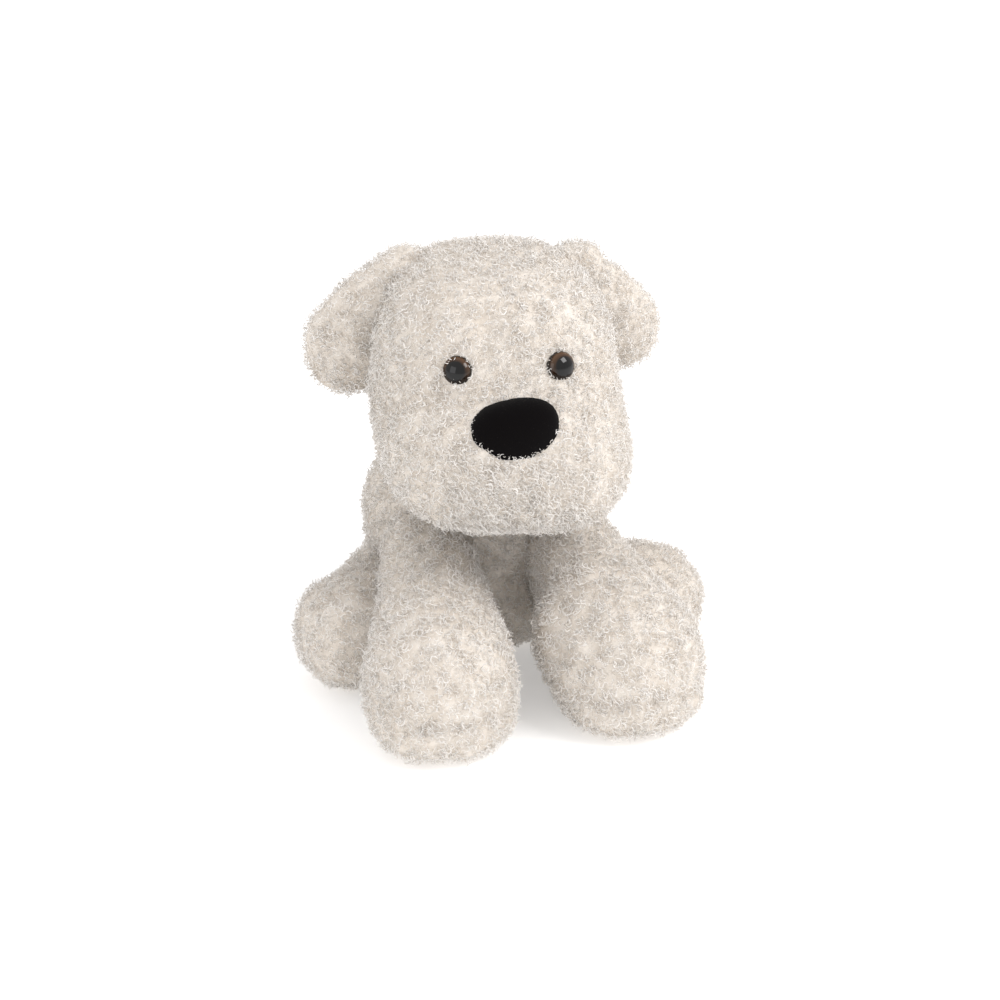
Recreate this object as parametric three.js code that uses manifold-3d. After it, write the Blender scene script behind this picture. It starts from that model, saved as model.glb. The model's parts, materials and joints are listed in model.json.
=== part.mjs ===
// A seated plush dog, sewn from curly-pile panels and stuffed.
// Millimetres, +Z up. The dog looks along -Y and its left side is +X.
// Every cover is a thin sewn shell, cut into its panels, around its own stuffing.

import * as THREE from 'three';
import { mergeVertices } from 'three/addons/utils/BufferGeometryUtils.js';
import Module from 'manifold-3d';

const wasm = await Module();
wasm.setup();

// ---- Driving dimensions -------------------------------------------------

const COVER = 2.2; // backing cloth and the root of its pile
const SEAM = 0.4; // width of the seam line left between two panels
const FIT = 0.3; // gap between pieces that touch
const BIG = 600; // a block larger than the whole dog
const ROUND = 12; // segments around a large soft piece
const ROUND_SMALL = 10; // segments around a small piece or a clearance
const ROUND_HEAD = 16; // segments around the head, where the eyes and nose seat
const ROUND_THREAD = 6; // segments around a thread
const RINGS = 0.6; // rings of a rounded mass for each segment around it

// The belly is pressed flat where it sits, and the chest stands on it.
const BELLY = { size: [54, 46, 46], back: 8, press: 7 };
const CHEST = { size: [50, 41, 33], back: 6, rise: 29 };
const SEAT_PANEL_TOP = 11;

// The neck is a ball that sinks into the top of the chest.
const NECK = { side: 2.5, ahead: 14, sink: 19, radius: 22, gap: 3.2, turn: 15 };
const NECK_THREAD = { drop: 8, thickness: 1.2, steps: 24 };
const HEAD_TURN = -7; // degrees about the neck at rest
const NOD_ROOM = 5; // between the head's underside and the shoulders

// The head is measured from the middle of the neck ball.
const SKULL = { size: [52.5, 51, 57], ahead: 24, sink: 5 };
const MUZZLE = { size: [47, 35, 30], ahead: 36, drop: 21 };
const GUSSET_HALF = 17;
const CHIN_SEAM = { ahead: 3, rise: 9, back: 6, drop: 7 }; // from the muzzle to below the skull

const EYE = { spacing: 40, rise: 18, diameter: 12, dome: 4.4, rim: 0.6, disc: 1.2 };
const LENS_STEPS = 6; // from the rim of the lens to its top
const EYE_SHANK = { diameter: 3.6, length: 10 };
const EYE_WASHER = { diameter: 12.5, thickness: 1.6, below: 2 };
const NOSE = { size: [18, 11.5, 13], rise: 20, sink: 1.1, cover: 1.3 };

// An ear hangs from the crown, inside the skull's edge, and folds about a line down its root.
const EAR = {
  inset: 10, back: 18, drop: 24, spread: { left: 10, right: 15 }, ahead: 2, fall: 22,
  crownRadius: 12.5, tipRadius: 20.5,
};
const EAR_THICKNESS = 19;
const EAR_HINGE = { rise: [-9, 1, 7], fall: [6, 0, -25], fold: 20, gap: 3.4 };

const FRONT_LEG = {
  inset: 20, back: 6, drop: 16, reach: [11, -72], rootRadius: 19, pawRadius: 30, gap: 2.2,
  swing: 16,
};
const HIND_LEG = {
  inset: 11, ahead: 2, drop: 8, reach: [20.5, -41], rootRadius: 22, pawRadius: 26.5, gap: 2.2,
  spread: 20,
};
const PAW_PRESS = 1; // how far a paw is pressed flat on the ground
const LEG_CLEAR = 1.5; // between the foreleg and the hind foot that it rests over

const TAIL = {
  sink: 5, drop: 13, reach: [0, 19, 14], rootRadius: 11, tipRadius: 9, gap: 1.5, wag: 25,
};
const PELLET_BAG = { size: [24, 24, 12], back: 4, lift: 1 };
const LABEL = { size: [11, 14, 0.8], side: 24, height: 17, out: 2.2 };
const CLOSING_THREAD = { thickness: 1.1, below: 11, above: 13, lift: 0.6, steps: 8 };

// ---- Places that follow from the sizes ----------------------------------

function sum(first, second) {
  return first.map((value, index) => value + second[index]);
}

// How far a rounded mass reaches along Y, at a given width and height.
function depthOf({ at, size }, x, z) {
  const wide = (x - at[0]) / size[0];
  const high = (z - at[2]) / size[2];
  return size[1] * Math.sqrt(Math.max(0, 1 - wide ** 2 - high ** 2));
}

BELLY.at = [0, BELLY.back, BELLY.size[2] - BELLY.press];
CHEST.at = [0, CHEST.back, BELLY.at[2] + CHEST.rise];
NECK.at = [NECK.side, CHEST.at[1] - NECK.ahead, CHEST.at[2] + CHEST.size[2] - NECK.sink];
SKULL.at = [0, -SKULL.ahead, SKULL.size[2] - SKULL.sink];
MUZZLE.at = [0, SKULL.at[1] - MUZZLE.ahead, SKULL.at[2] - MUZZLE.drop];
NOSE.at = [0, 0, MUZZLE.at[2] + NOSE.rise];
NOSE.at[1] = MUZZLE.at[1] - depthOf(MUZZLE, 0, NOSE.at[2]) + NOSE.sink;
EAR.crown = [
  SKULL.size[0] - EAR.inset, SKULL.at[1] + EAR.back, SKULL.at[2] + SKULL.size[2] - EAR.drop,
];
EAR.tip = (name) => sum(EAR.crown, [EAR.spread[name], -EAR.ahead, -EAR.fall]);
EAR_HINGE.top = sum(EAR.crown, EAR_HINGE.rise);
EAR_HINGE.low = sum(EAR.crown, EAR_HINGE.fall);
FRONT_LEG.root = [
  CHEST.size[0] - FRONT_LEG.inset,
  CHEST.at[1] - CHEST.size[1] + FRONT_LEG.back,
  CHEST.at[2] - FRONT_LEG.drop,
];
HIND_LEG.root = [
  BELLY.size[0] - HIND_LEG.inset, BELLY.at[1] - HIND_LEG.ahead, BELLY.at[2] - HIND_LEG.drop,
];
for (const leg of [FRONT_LEG, HIND_LEG]) {
  leg.paw = [...sum(leg.reach, leg.root), leg.pawRadius - PAW_PRESS];
}
TAIL.root = [0, BELLY.at[1] + BELLY.size[1] - TAIL.sink, BELLY.at[2] - TAIL.drop];
TAIL.tip = sum(TAIL.root, TAIL.reach);
PELLET_BAG.at = [0, BELLY.at[1] + PELLET_BAG.back, PELLET_BAG.size[2] + PELLET_BAG.lift];
LABEL.at = [
  LABEL.side, BELLY.at[1] + depthOf(BELLY, LABEL.side, LABEL.height) + LABEL.out, LABEL.height,
];

// ---- Materials ----------------------------------------------------------

const curlyPile = new THREE.MeshStandardMaterial({ color: 0xf1ebe3, roughness: 0.95 });
const liningPile = new THREE.MeshStandardMaterial({ color: 0xe6ded4, roughness: 0.95 });
const fibrefill = new THREE.MeshStandardMaterial({ color: 0xf8f8f6, roughness: 1.0 });
const blackVelour = new THREE.MeshStandardMaterial({ color: 0x151313, roughness: 0.8 });
const amberPlastic = new THREE.MeshStandardMaterial({ color: 0x5b3116, roughness: 0.08 });
const blackPlastic = new THREE.MeshStandardMaterial({ color: 0x0b0a0a, roughness: 0.12 });
const washerPlastic = new THREE.MeshStandardMaterial({ color: 0xd9d9d6, roughness: 0.4 });
const sewingThread = new THREE.MeshStandardMaterial({ color: 0xe9e2d8, roughness: 0.7 });
const satinTape = new THREE.MeshStandardMaterial({ color: 0xf6f6f4, roughness: 0.45 });
const beadBag = new THREE.MeshStandardMaterial({ color: 0xdcdad6, roughness: 0.8 });

// ---- Solids from three.js geometry --------------------------------------

// A closed manifold from any closed three.js geometry, placed by a matrix.
function solid(geometry, matrix = new THREE.Matrix4()) {
  const bare = geometry.clone();
  bare.deleteAttribute('normal');
  bare.deleteAttribute('uv');
  bare.applyMatrix4(matrix);
  const welded = mergeVertices(bare, 1e-4);
  return new wasm.Manifold(new wasm.Mesh({
    numProp: 3,
    vertProperties: new Float32Array(welded.attributes.position.array),
    triVerts: new Uint32Array(welded.index.array),
  }));
}

function unite(solids) {
  return solids.reduce((sum, next) => sum.add(next));
}

// A matrix that turns +Y to a direction and moves the origin to a point.
function aim(point, direction) {
  const turn = new THREE.Quaternion().setFromUnitVectors(
    new THREE.Vector3(0, 1, 0), new THREE.Vector3(...direction).normalize());
  return new THREE.Matrix4().compose(
    new THREE.Vector3(...point), turn, new THREE.Vector3(1, 1, 1));
}

// A rounded mass, every half-size grown by the same amount.
function ellipsoid({ at, size }, grow, matrix, round = ROUND) {
  const shape = new THREE.SphereGeometry(1, round, Math.round(round * RINGS));
  shape.rotateX(Math.PI / 2);
  shape.scale(size[0] + grow, size[1] + grow, size[2] + grow);
  shape.translate(...at);
  return solid(shape, matrix);
}

// A stuffed tube with round ends of two radii, from one point to another.
function limb(from, to, fromRadius, toRadius, grow, round = ROUND, place = undefined) {
  const start = new THREE.Vector3(...from);
  const reach = new THREE.Vector3(...to).sub(start);
  const length = reach.length();
  const lean = Math.asin((fromRadius - toRadius) / length);
  const arc = Math.round(round / 3);
  const profile = [];
  for (let i = 0; i <= arc; i += 1) {
    const angle = -Math.PI / 2 + (lean + Math.PI / 2) * (i / arc);
    const radius = fromRadius + grow;
    profile.push(new THREE.Vector2(radius * Math.cos(angle), radius * Math.sin(angle)));
  }
  for (let i = 0; i <= arc; i += 1) {
    const angle = lean + (Math.PI / 2 - lean) * (i / arc);
    const radius = toRadius + grow;
    profile.push(new THREE.Vector2(radius * Math.cos(angle), length + radius * Math.sin(angle)));
  }
  profile[0].x = 0;
  profile[profile.length - 1].x = 0;
  return solid(new THREE.LatheGeometry(profile, round), place ?? aim(from, reach.toArray()));
}

// A block that fills the side of a plane its normal points to.
function beyond(point, normal, gap = 0) {
  const block = new THREE.BoxGeometry(BIG, BIG, BIG);
  block.translate(0, BIG / 2 + gap, 0);
  return solid(block, aim(point, normal));
}

function above(height) {
  return beyond([0, 0, height], [0, 0, 1]);
}

function rod(from, direction, radius, start, end, round = ROUND_SMALL) {
  const bar = new THREE.CylinderGeometry(radius, radius, end - start, round);
  bar.translate(0, (start + end) / 2, 0);
  return solid(bar, aim(from, direction));
}

// ---- Nodes --------------------------------------------------------------

const dog = new THREE.Group();
const head = new THREE.Group();
head.position.set(...NECK.at);
head.rotation.z = THREE.MathUtils.degToRad(HEAD_TURN);
dog.add(head);
head.updateMatrix();
const headPlace = head.matrix.clone();

// Only the largest body of a cut is kept, because a panel is one piece of cloth.
function largest(manifold) {
  const bodies = manifold.decompose();
  return bodies.reduce((best, next) => (next.volume() > best.volume() ? next : best));
}

function addPiece(group, name, manifold, material) {
  const { vertProperties, triVerts } = largest(manifold).getMesh();
  const geometry = new THREE.BufferGeometry();
  const places = new THREE.BufferAttribute(new Float32Array(vertProperties), 3);
  geometry.setAttribute('position', places);
  geometry.setIndex(new THREE.BufferAttribute(new Uint32Array(triVerts), 1));
  geometry.computeVertexNormals();
  const mesh = new THREE.Mesh(geometry, material);
  mesh.name = name;
  group.add(mesh);
}

const SIDES = [['left', 1], ['right', -1]];

function mirrored([x, y, z], side) {
  return [x * side, y, z];
}

// ---- Shapes that several pieces share -----------------------------------

function headMass(grow) {
  const neck = { at: [0, 0, 0], size: [NECK.radius, NECK.radius, NECK.radius] };
  const masses = [SKULL, MUZZLE, neck];
  return unite(masses.map((mass) => ellipsoid(mass, grow, undefined, ROUND_HEAD)));
}

function turnedAbout(point, axis, degrees, place) {
  const pivot = new THREE.Vector3(...point);
  return new THREE.Vector3(...place).sub(pivot)
    .applyAxisAngle(new THREE.Vector3(...axis).normalize(), THREE.MathUtils.degToRad(degrees))
    .add(pivot).toArray();
}

// A foreleg lifts about a level axis across it, and a hind leg spreads about an upright one.
function frontLegAxis(side) {
  const { root, paw } = FRONT_LEG;
  return new THREE.Vector3(paw[0] - root[0], paw[1] - root[1], 0)
    .multiply(new THREE.Vector3(side, 1, 1))
    .cross(new THREE.Vector3(0, 0, 1)).normalize().toArray();
}

function legMass({ root, paw, rootRadius, pawRadius }, side, grow) {
  return limb(mirrored(root, side), mirrored(paw, side), rootRadius, pawRadius, grow);
}

function tailMass(grow) {
  return limb(TAIL.root, TAIL.tip, TAIL.rootRadius, TAIL.tipRadius, grow, ROUND_SMALL);
}

// What a hind leg fills, seen from the foreleg through its whole lift.
function hindLegRoom(side, grow) {
  const { root, paw, rootRadius, pawRadius } = HIND_LEG;
  const hinge = mirrored(FRONT_LEG.root, side);
  return unite([0, FRONT_LEG.swing / 2, FRONT_LEG.swing].map((lift) => {
    const seen = (place) => turnedAbout(hinge, frontLegAxis(side), -lift, mirrored(place, side));
    return limb(seen(root), seen(paw), rootRadius, pawRadius, LEG_CLEAR - grow);
  }));
}

// What the skull fills through its whole turn, with room for its nod.
function skullRoom(grow) {
  return unite([-NECK.turn, 0, NECK.turn].map((turn) => {
    const turned = new THREE.Matrix4().makeRotationZ(THREE.MathUtils.degToRad(turn));
    return ellipsoid(SKULL, NOD_ROOM - grow, turned.premultiply(headPlace));
  }));
}

// Room for a limb through its whole swing: a cone aimed at the middle of the swing.
function swingRoom({ root, rootRadius, end, endRadius, axis, from, to, grow }) {
  const middleEnd = turnedAbout(root, axis, (from + to) / 2, end);
  const length = new THREE.Vector3(...end).distanceTo(new THREE.Vector3(...root));
  const fan = length * Math.sin(THREE.MathUtils.degToRad((to - from) / 2));
  return limb(root, middleEnd, rootRadius, endRadius + fan, grow, ROUND_SMALL);
}

function legRoom({ root, paw, rootRadius, pawRadius, gap }, side, axis, limit, grow) {
  return swingRoom({
    root: mirrored(root, side), rootRadius, end: mirrored(paw, side), endRadius: pawRadius,
    axis, from: 0, to: limit, grow: gap - grow,
  });
}

function torsoMass(grow) {
  let body = unite([ellipsoid(BELLY, grow), ellipsoid(CHEST, grow)]);
  const base = { at: NECK.at, size: [NECK.radius, NECK.radius, NECK.radius] };
  body = body.subtract(skullRoom(grow));
  body = body.subtract(ellipsoid(base, NECK.gap - grow));
  for (const [, side] of SIDES) {
    body = body.subtract(
      legRoom(FRONT_LEG, side, frontLegAxis(side), FRONT_LEG.swing, grow));
    body = body.subtract(legRoom(HIND_LEG, side, [0, 0, side], HIND_LEG.spread, grow));
  }
  body = body.subtract(swingRoom({
    root: TAIL.root, rootRadius: TAIL.rootRadius, end: TAIL.tip, endRadius: TAIL.tipRadius,
    axis: [0, 0, 1], from: -TAIL.wag, to: TAIL.wag, grow: TAIL.gap - grow,
  }));
  return body.intersect(above(-grow));
}

// ---- Torso --------------------------------------------------------------

const torsoShell = torsoMass(0).subtract(torsoMass(-COVER));
const torsoFill = torsoMass(-COVER - FIT);
const torsoSides = torsoShell.intersect(above(SEAT_PANEL_TOP + SEAM));

for (const [name, side] of SIDES) {
  const panel = torsoSides.intersect(beyond([0, 0, 0], [side, 0, 0], SEAM / 2));
  addPiece(dog, `torso_${name}_panel`, panel, curlyPile);
}
addPiece(dog, 'seat_panel', torsoShell.subtract(above(SEAT_PANEL_TOP)), curlyPile);

const pelletBag = ellipsoid(PELLET_BAG, 0, undefined, ROUND_SMALL).intersect(torsoFill);
addPiece(dog, 'pellet_bag', pelletBag, beadBag);
const bagRoom = ellipsoid(PELLET_BAG, FIT, undefined, ROUND_SMALL);
addPiece(dog, 'torso_stuffing', torsoFill.subtract(bagRoom), fibrefill);

// The label is a folded tape that stands out of the back seam of the seat.
const labelTape = new THREE.BoxGeometry(LABEL.size[2], LABEL.size[1], LABEL.size[0]);
labelTape.translate(...LABEL.at);
addPiece(dog, 'care_label', solid(labelTape).subtract(torsoMass(FIT)), satinTape);

// The closing seam runs up the middle of the back.
function backOf(height) {
  return Math.max(...[BELLY, CHEST].map((mass) => mass.at[1] + depthOf(mass, 0, height)));
}

function closingThread() {
  const { thickness, below, above: over, lift, steps } = CLOSING_THREAD;
  const points = [];
  for (let i = 0; i <= steps; i += 1) {
    const height = CHEST.at[2] - below + (below + over) * (i / steps);
    points.push(new THREE.Vector3(0, backOf(height) + lift, height));
  }
  const section = new THREE.Shape();
  section.absarc(0, 0, thickness / 2, 0, Math.PI * 2);
  return solid(new THREE.ExtrudeGeometry(section, {
    steps: steps * 2,
    bevelEnabled: false,
    curveSegments: ROUND_THREAD / 2,
    extrudePath: new THREE.CatmullRomCurve3(points),
  }));
}
const seamThread = closingThread().subtract(torsoMass(FIT / 2));
addPiece(dog, 'closing_seam_thread', seamThread, sewingThread);

// ---- Tail ---------------------------------------------------------------

const tailShell = tailMass(0).subtract(tailMass(-COVER));
for (const [name, side] of SIDES) {
  const panel = tailShell.intersect(beyond([0, 0, 0], [side, 0, 0], SEAM / 2));
  addPiece(dog, `tail_${name}_panel`, panel, curlyPile);
}
addPiece(dog, 'tail_stuffing', tailMass(-COVER - FIT), fibrefill);

// ---- Legs ---------------------------------------------------------------

// A leg is two panels, joined along the upright plane through its middle.
function addLeg(label, side, spec, room) {
  const shape = (grow) => {
    const whole = legMass(spec, side, grow).intersect(above(-grow));
    return room ? whole.subtract(room(side, grow)) : whole;
  };
  const root = mirrored(spec.root, side);
  const run = new THREE.Vector3(...mirrored(spec.paw, side)).sub(new THREE.Vector3(...root));
  const across = run.setZ(0).cross(new THREE.Vector3(0, 0, side)).normalize();
  const outward = across.multiplyScalar(Math.sign(across.x * side));
  const inward = outward.clone().negate();
  const shell = shape(0).subtract(shape(-COVER));
  for (const [part, way] of [['outer', outward], ['inner', inward]]) {
    const panel = shell.intersect(beyond(root, way.toArray(), SEAM / 2));
    addPiece(dog, `${label}_${part}_panel`, panel, curlyPile);
  }
  addPiece(dog, `${label}_stuffing`, shape(-COVER - FIT), fibrefill);
}

for (const [name, side] of SIDES) {
  addLeg(`front_leg_${name}`, side, FRONT_LEG, hindLegRoom);
  addLeg(`hind_leg_${name}`, side, HIND_LEG);
}

// ---- Head ---------------------------------------------------------------

// A point on the skull, and the way out of it, at a given width and height.
function onSkull(x, z) {
  const { at, size } = SKULL;
  const point = [x, at[1] - depthOf(SKULL, x, z), z];
  const outward = new THREE.Vector3(...point.map((value, i) => (value - at[i]) / size[i] ** 2));
  return { point, outward: outward.normalize().toArray() };
}

const eyes = SIDES.map(([name, side]) => (
  { name, ...onSkull((EYE.spacing / 2) * side, SKULL.at[2] + EYE.rise) }));

let headShell = headMass(0).subtract(headMass(-COVER));
let headFill = headMass(-COVER - FIT);
const washerTop = -COVER - EYE_WASHER.below;
const washerBottom = washerTop - EYE_WASHER.thickness;

for (const { name, point, outward } of eyes) {
  const shankRadius = EYE_SHANK.diameter / 2;
  const deepest = -EYE_SHANK.length - FIT;
  headShell = headShell.subtract(rod(point, outward, shankRadius + FIT, deepest, COVER));
  const washerRadius = EYE_WASHER.diameter / 2;
  headFill = headFill.subtract(rod(point, outward, washerRadius + FIT, deepest, COVER));

  const disc = rod(point, outward, EYE.diameter / 2, FIT, FIT + EYE.disc, ROUND);
  const shank = rod(point, outward, shankRadius, -EYE_SHANK.length, FIT + EYE.disc / 2);
  addPiece(head, `eye_${name}_back`, disc.add(shank), blackPlastic);

  const lensRadius = EYE.diameter / 2;
  const lensProfile = [new THREE.Vector2(0, 0), new THREE.Vector2(lensRadius, 0)];
  for (let i = 1; i <= LENS_STEPS; i += 1) {
    const angle = (Math.PI / 2) * (i / LENS_STEPS);
    const height = EYE.rim + (EYE.dome - EYE.rim) * Math.sin(angle);
    lensProfile.push(new THREE.Vector2(lensRadius * Math.cos(angle), height));
  }
  lensProfile[lensProfile.length - 1].x = 0;
  const lens = new THREE.LatheGeometry(lensProfile, ROUND);
  lens.translate(0, FIT + EYE.disc + FIT, 0);
  addPiece(head, `eye_${name}_lens`, solid(lens, aim(point, outward)), amberPlastic);

  const washer = rod(point, outward, washerRadius, washerBottom, washerTop)
    .subtract(rod(point, outward, shankRadius + FIT / 2, washerBottom - FIT, washerTop + FIT));
  addPiece(head, `eye_${name}_washer`, washer, washerPlastic);
}

// The ears are flat lobes that face forward and hang from a line down each side of the crown.
function earMass(name, side, grow) {
  const crown = new THREE.Vector3(...mirrored(EAR.crown, side));
  const tip = EAR.tip(name);
  const fall = new THREE.Vector3(...mirrored(tip, side)).sub(crown).normalize();
  const face = new THREE.Vector3(0, -1, 0);
  const width = fall.clone().cross(face).normalize();
  const flat = (EAR_THICKNESS / 2 + grow) / (EAR.tipRadius + grow);
  const place = new THREE.Matrix4()
    .makeBasis(width, fall, face.crossVectors(width, fall).normalize())
    .scale(new THREE.Vector3(1, 1, flat))
    .setPosition(crown);
  return limb(EAR.crown, tip, EAR.crownRadius, EAR.tipRadius, grow, ROUND, place);
}

function turnMatrix(point, axis, degrees) {
  const out = new THREE.Matrix4().makeTranslation(...point);
  const turn = new THREE.Matrix4().makeRotationAxis(axis, THREE.MathUtils.degToRad(degrees));
  const back = new THREE.Matrix4().makeTranslation(...point.map((value) => -value));
  return out.multiply(turn).multiply(back);
}

// What the head fills, seen from the ear through its whole fold.
function earRoom(side, grow) {
  const top = mirrored(EAR_HINGE.top, side);
  const low = mirrored(EAR_HINGE.low, side);
  const axis = new THREE.Vector3(...low).sub(new THREE.Vector3(...top)).normalize();
  return unite([-EAR_HINGE.fold, 0, EAR_HINGE.fold].map((fold) => (
    ellipsoid(SKULL, EAR_HINGE.gap - grow, turnMatrix(top, axis, fold)))));
}

for (const [name, side] of SIDES) {
  const shape = (grow) => earMass(name, side, grow).subtract(earRoom(side, grow));
  const shell = shape(0).subtract(shape(-COVER));
  const seam = mirrored(EAR.crown, side);
  const front = shell.intersect(beyond(seam, [0, -1, 0], SEAM / 2));
  const back = shell.intersect(beyond(seam, [0, 1, 0], SEAM / 2));
  addPiece(head, `ear_${name}_front_panel`, front, curlyPile);
  addPiece(head, `ear_${name}_back_panel`, back, liningPile);
  addPiece(head, `ear_${name}_batting`, shape(-COVER - FIT), fibrefill);
}

// The nose is a padded patch that sits on the front of the muzzle.
const noseBed = headMass(FIT);
const noseOuter = ellipsoid(NOSE, 0).subtract(noseBed);
const noseInner = ellipsoid(NOSE, -NOSE.cover).subtract(headMass(FIT / 2));
addPiece(head, 'nose_cover', noseOuter.subtract(noseInner), blackVelour);
addPiece(head, 'nose_padding', ellipsoid(NOSE, -NOSE.cover - FIT).subtract(noseBed), fibrefill);

const middle = beyond([GUSSET_HALF, 0, 0], [-1, 0, 0])
  .intersect(beyond([-GUSSET_HALF, 0, 0], [1, 0, 0]));
const chinStart = [
  0, MUZZLE.at[1] - MUZZLE.size[1] - CHIN_SEAM.ahead, MUZZLE.at[2] + CHIN_SEAM.rise,
];
const chinEnd = [
  0, SKULL.at[1] + CHIN_SEAM.back, SKULL.at[2] - SKULL.size[2] - CHIN_SEAM.drop,
];
const chinDown = [0, chinEnd[2] - chinStart[2], chinStart[1] - chinEnd[1]];
const chinUp = chinDown.map((value) => -value);
const strip = headShell.intersect(middle);
for (const [name, way] of [['head_gusset', chinUp], ['chin_panel', chinDown]]) {
  addPiece(head, name, strip.intersect(beyond(chinStart, way, SEAM / 2)), curlyPile);
}
for (const [name, side] of SIDES) {
  const half = beyond([GUSSET_HALF * side, 0, 0], [side, 0, 0], SEAM);
  addPiece(head, `head_${name}_panel`, headShell.intersect(half), curlyPile);
}
addPiece(head, 'head_stuffing', headFill, fibrefill);

// A ring of thread gathers the neck where the head's base meets the shoulders.
function neckThread() {
  const { drop, thickness, steps } = NECK_THREAD;
  const reach = NECK.radius + FIT + thickness / 2;
  const radius = Math.sqrt(reach ** 2 - drop ** 2);
  const ring = new THREE.TorusGeometry(radius, thickness / 2, ROUND_THREAD, steps);
  ring.translate(0, 0, -drop);
  return solid(ring);
}
addPiece(head, 'neck_gathering_thread', neckThread(), sewingThread);

// ---- The origin is the middle of the dog's base --------------------------

dog.updateMatrixWorld(true);
const box = new THREE.Box3().setFromObject(dog, true);
dog.position.set(-(box.min.x + box.max.x) / 2, -(box.min.y + box.max.y) / 2, -box.min.z);

export default dog;
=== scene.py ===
# %% [markdown]
# A seated plush dog in curly pile.
#
# A soft toy is a set of stuffed covers, sewn to each other at the neck, the shoulders, the
# hips, the ear roots and the tail. Each cover gets three layers here. A rounded form gives
# the mass, a cloth simulation fills it with pressure as stuffing does, and thousands of
# small curled tufts make the pile. The CAD model says where every cover and joint is.

# %% Load the CAD frame
import math

import bmesh
import bpy
import json
import numpy as np
from mathutils import Matrix, Vector


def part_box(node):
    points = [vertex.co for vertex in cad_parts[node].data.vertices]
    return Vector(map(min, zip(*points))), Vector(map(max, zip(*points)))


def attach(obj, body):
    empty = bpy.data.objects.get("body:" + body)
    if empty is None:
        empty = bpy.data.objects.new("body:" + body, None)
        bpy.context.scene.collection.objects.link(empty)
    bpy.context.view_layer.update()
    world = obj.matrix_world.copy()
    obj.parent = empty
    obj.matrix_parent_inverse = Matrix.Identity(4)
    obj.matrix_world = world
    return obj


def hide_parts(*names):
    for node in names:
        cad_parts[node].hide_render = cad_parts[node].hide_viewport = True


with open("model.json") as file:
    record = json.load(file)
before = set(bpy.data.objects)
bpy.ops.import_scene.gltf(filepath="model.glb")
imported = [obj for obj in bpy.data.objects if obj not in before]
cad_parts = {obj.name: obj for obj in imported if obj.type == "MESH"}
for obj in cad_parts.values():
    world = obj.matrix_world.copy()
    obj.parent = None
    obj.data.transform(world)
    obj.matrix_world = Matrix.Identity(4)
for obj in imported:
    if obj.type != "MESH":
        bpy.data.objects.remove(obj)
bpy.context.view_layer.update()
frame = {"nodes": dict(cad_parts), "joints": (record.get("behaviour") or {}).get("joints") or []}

SIDES = {"left": 1.0, "right": -1.0}
MM = 0.001

# %% [markdown]
# The joints of the CAD record are the best landmarks. A limb's cover is built out from its
# joint, and the head has its own axes, because it rests turned a little to one side.

# %% Landmarks from the frame
joints = {j["name"]: j for j in frame["joints"]}


def joint_point(name):
    return Vector(joints[name]["pos_m"])


neck = joint_point("head_nod")
head_x = Vector(joints["head_nod"]["axis"]).normalized()
head_z = Vector((0, 0, 1))
head_y = head_z.cross(head_x)
head_axes = Matrix((head_x, head_y, head_z)).transposed()
head_place = Matrix.Translation(neck) @ head_axes.to_4x4()
print("neck", neck, "head turned", round(math.degrees(math.atan2(head_x.y, head_x.x)), 1))

# %% [markdown]
# The camera stands at about the height of a person's eyes over a table, a little to the
# dog's right, and looks down at it. It comes first, so that every look uses the same view.

# %% Camera
AZIMUTH = math.radians(-14.0)
ELEVATION = math.radians(24.5)
DISTANCE = 1.0
VIEW_WIDTH = 0.435
SENSOR = 36.0
AIM = Vector((0, 0.007, 0.076))
FRAME_SHIFT = Vector((0.0044, -0.0066, 0))

back = Vector((math.sin(AZIMUTH) * math.cos(ELEVATION),
               -math.cos(AZIMUTH) * math.cos(ELEVATION),
               math.sin(ELEVATION)))
camera_data = bpy.data.cameras.new("camera")
camera_data.sensor_width = SENSOR
camera_data.lens = SENSOR * DISTANCE / VIEW_WIDTH
camera = bpy.data.objects.new("camera", camera_data)
bpy.context.scene.collection.objects.link(camera)
camera_turn = back.to_track_quat("Z", "Y")
aim_point = AIM + camera_turn @ FRAME_SHIFT
camera.location = aim_point + back * DISTANCE
camera.rotation_euler = camera_turn.to_euler()
bpy.context.scene.camera = camera
print("lens", round(camera_data.lens, 1), "mm")

# %% [markdown]
# Soft light from a large lamp high on the right, a weaker one on the left, and a bright
# room all round. White pile shows its curls only where the light comes from one side.

# %% Light and room


def area_light(name, place, target, size, power, colour):
    data = bpy.data.lights.new(name, "AREA")
    data.shape = "RECTANGLE"
    data.size, data.size_y = size
    data.energy = power
    data.color = colour
    lamp = bpy.data.objects.new(name, data)
    bpy.context.scene.collection.objects.link(lamp)
    lamp.location = place
    lamp.rotation_euler = (Vector(place) - Vector(target)).to_track_quat("Z", "Y").to_euler()


middle = Vector((0, 0, 0.09))
area_light("key_softbox", (0.70, -0.62, 1.0), middle, (0.6, 0.6), 8.4, (1.0, 0.985, 0.982))
area_light("fill_softbox", (-1.1, -0.7, 0.5), middle, (0.8, 0.8), 2.6, (0.985, 0.985, 1.0))

world = bpy.data.worlds.new("white_room")
world.use_nodes = True
world.node_tree.nodes["Background"].inputs["Color"].default_value = (1.0, 0.992, 0.992, 1)
world.node_tree.nodes["Background"].inputs["Strength"].default_value = 0.90
bpy.context.scene.world = world
bpy.context.scene.view_settings.view_transform = "Standard"

# %% [markdown]
# Each finish is a small node tree. A helper adds nodes by type and joins their sockets, so
# that the recipes below stay short.

# %% Material helpers


def new_material(name):
    material = bpy.data.materials.new(name)
    material.use_nodes = True
    tree = material.node_tree
    shader = tree.nodes["Principled BSDF"]
    return material, tree, shader


def add_node(tree, kind, **settings):
    node = tree.nodes.new(kind)
    for key, value in settings.items():
        if key in node.inputs:
            node.inputs[key].default_value = value
        else:
            setattr(node, key, value)
    return node


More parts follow.
